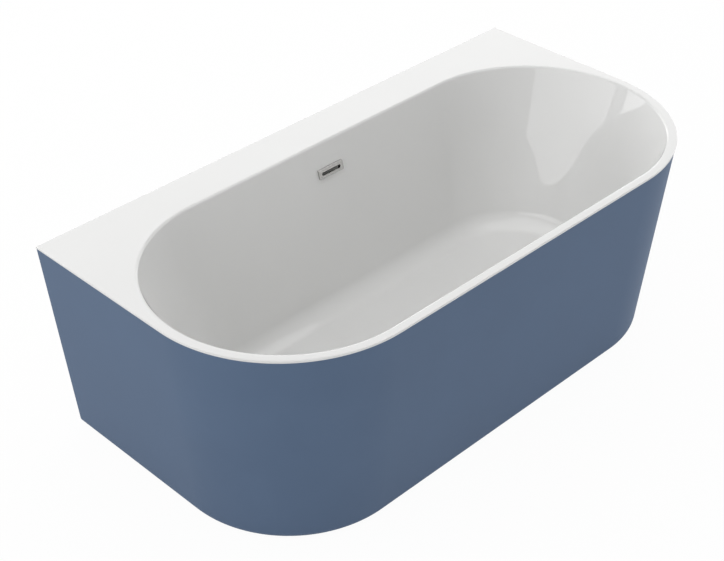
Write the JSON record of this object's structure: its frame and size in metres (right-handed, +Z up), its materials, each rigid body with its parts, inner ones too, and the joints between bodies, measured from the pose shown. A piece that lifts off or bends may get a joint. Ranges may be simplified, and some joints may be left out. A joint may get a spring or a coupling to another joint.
{
  "type": "back-to-wall bathtub",
  "caption": "Back-to-wall freestanding bathtub: white oval basin with a flat back deck, a blue-grey tapered skirt open at the wall, slotted overflow, press plug and levelling feet.",
  "frame": {"origin": "on the floor, under the middle of the bath's box: the feet stand at Z = 0", "axes": "+X along the bath, +Y to the wall behind it, +Z up"},
  "size_m": [1.6, 0.82, 0.572],
  "materials": {
    "white_acrylic": "polished white acrylic",
    "blue_skirt": "satin blue-grey lacquer",
    "board": "board wrapped in glass-fibre resin",
    "timber": "sawn softwood",
    "frame_steel": "grey powder coat",
    "zinc_steel": "bright zinc plate",
    "chrome": "polished chrome plate",
    "seal_rubber": "moulded rubber",
    "grey_plastic": "moulded polypropylene",
    "hose_plastic": "ribbed polypropylene",
    "black_plastic": "moulded nylon",
    "brass": "turned brass",
    "spring_steel": "stainless spring wire"
  },
  "bodies": {
    "root": {"base_board": "board", "bath_shell": "white_acrylic", "batten_screws": "zinc_steel", "board_screws": "zinc_steel", "bracket_screws": "zinc_steel", "centre_leg_rail": "frame_steel", "deck_post_left": "frame_steel", "deck_post_right": "frame_steel", "end_block_left": "timber", "end_block_right": "timber", "end_strap_left": "zinc_steel", "end_strap_right": "zinc_steel", "foot_inserts": "zinc_steel", "foot_lock_nuts": "zinc_steel", "front_block_left": "timber", "front_block_right": "timber", "front_bracket_left": "zinc_steel", "front_bracket_right": "zinc_steel", "hose_nut_bottom": "grey_plastic", "hose_nut_top": "grey_plastic", "leg_rail_left": "frame_steel", "leg_rail_right": "frame_steel", "outer_skirt": "blue_skirt", "overflow_body": "grey_plastic", "overflow_body_gasket": "seal_rubber", "overflow_hose": "hose_plastic", "overflow_plate": "chrome", "overflow_plate_gasket": "seal_rubber", "overflow_screws": "zinc_steel", "plug_cartridge": "brass", "plug_spring": "spring_steel", "rear_rim_batten": "timber", "waste_body": "grey_plastic", "waste_bottom_seal": "seal_rubber", "waste_flange": "chrome", "waste_top_seal": "seal_rubber"},
    "plug": {"plug_cap": "chrome", "plug_seal": "seal_rubber", "plug_stem": "brass"},
    "pad_front_left": {"foot_pad_front_left": "black_plastic"},
    "stem_front_left": {"foot_stem_front_left": "zinc_steel"},
    "pad_front_right": {"foot_pad_front_right": "black_plastic"},
    "stem_front_right": {"foot_stem_front_right": "zinc_steel"},
    "pad_rear_left": {"foot_pad_rear_left": "black_plastic"},
    "stem_rear_left": {"foot_stem_rear_left": "zinc_steel"},
    "pad_rear_right": {"foot_pad_rear_right": "black_plastic"},
    "stem_rear_right": {"foot_stem_rear_right": "zinc_steel"},
    "pad_centre": {"foot_pad_centre": "black_plastic"},
    "stem_centre": {"foot_stem_centre": "zinc_steel"}
  },
  "joints": [
    {"name": "plug_press", "type": "slide", "parent": "root", "child": "plug", "axis": [0, 0, 1], "range_m": [-0.008, 0], "stiffness_N_per_m": 800, "springref_m": 0.01, "deforming": ["plug_spring"]},
    {"name": "foot_drop_front_left", "type": "slide", "parent": "root", "child": "pad_front_left", "axis": [0, 0, -1], "range_m": [0, 0.02]},
    {"name": "foot_screw_front_left", "type": "hinge", "parent": "pad_front_left", "child": "stem_front_left", "pos_m": [-0.4, -0.29, 0.024], "axis": [0, 0, -1], "range_deg": [0, 4120]},
    {"name": "foot_drop_front_right", "type": "slide", "parent": "root", "child": "pad_front_right", "axis": [0, 0, -1], "range_m": [0, 0.02]},
    {"name": "foot_screw_front_right", "type": "hinge", "parent": "pad_front_right", "child": "stem_front_right", "pos_m": [0.4, -0.29, 0.024], "axis": [0, 0, -1], "range_deg": [0, 4120]},
    {"name": "foot_drop_rear_left", "type": "slide", "parent": "root", "child": "pad_rear_left", "axis": [0, 0, -1], "range_m": [0, 0.02]},
    {"name": "foot_screw_rear_left", "type": "hinge", "parent": "pad_rear_left", "child": "stem_rear_left", "pos_m": [-0.4, 0.34, 0.024], "axis": [0, 0, -1], "range_deg": [0, 4120]},
    {"name": "foot_drop_rear_right", "type": "slide", "parent": "root", "child": "pad_rear_right", "axis": [0, 0, -1], "range_m": [0, 0.02]},
    {"name": "foot_screw_rear_right", "type": "hinge", "parent": "pad_rear_right", "child": "stem_rear_right", "pos_m": [0.4, 0.34, 0.024], "axis": [0, 0, -1], "range_deg": [0, 4120]},
    {"name": "foot_drop_centre", "type": "slide", "parent": "root", "child": "pad_centre", "axis": [0, 0, -1], "range_m": [0, 0.02]},
    {"name": "foot_screw_centre", "type": "hinge", "parent": "pad_centre", "child": "stem_centre", "pos_m": [0.15, -0.0485, 0.024], "axis": [0, 0, -1], "range_deg": [0, 4120]}
  ],
  "couplings": [
    {"joint": "foot_screw_front_left", "follows": "foot_drop_front_left", "rad_per_m": 3590.4},
    {"joint": "foot_screw_front_right", "follows": "foot_drop_front_right", "rad_per_m": 3590.4},
    {"joint": "foot_screw_rear_left", "follows": "foot_drop_rear_left", "rad_per_m": 3590.4},
    {"joint": "foot_screw_rear_right", "follows": "foot_drop_rear_right", "rad_per_m": 3590.4},
    {"joint": "foot_screw_centre", "follows": "foot_drop_centre", "rad_per_m": 3590.4}
  ]
}
